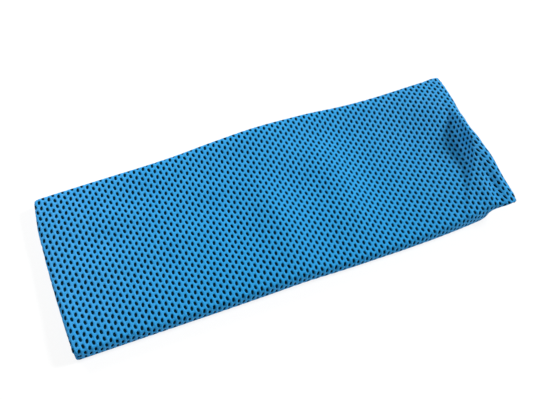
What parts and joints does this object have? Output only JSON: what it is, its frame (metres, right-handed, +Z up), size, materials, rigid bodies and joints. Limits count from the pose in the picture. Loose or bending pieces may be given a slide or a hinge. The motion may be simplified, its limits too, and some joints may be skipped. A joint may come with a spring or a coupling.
{
  "type": "folded cooling towel",
  "caption": "Thin knitted cooling towel with an all-over dot mesh, folded under on every side into a flat oblong pad whose right end springs up in a loose roll.",
  "frame": {"origin": "under the middle of the folded pad, on the surface it rests on", "axes": "+X along the pad towards the end that springs up, +Y from the near long edge to the far one, +Z up"},
  "size_m": [0.2714, 0.1052, 0.0217],
  "materials": {
    "knit": "matte"
  },
  "bodies": {
    "root": {"folded_towel_cloth": "knit"}
  },
  "joints": []
}
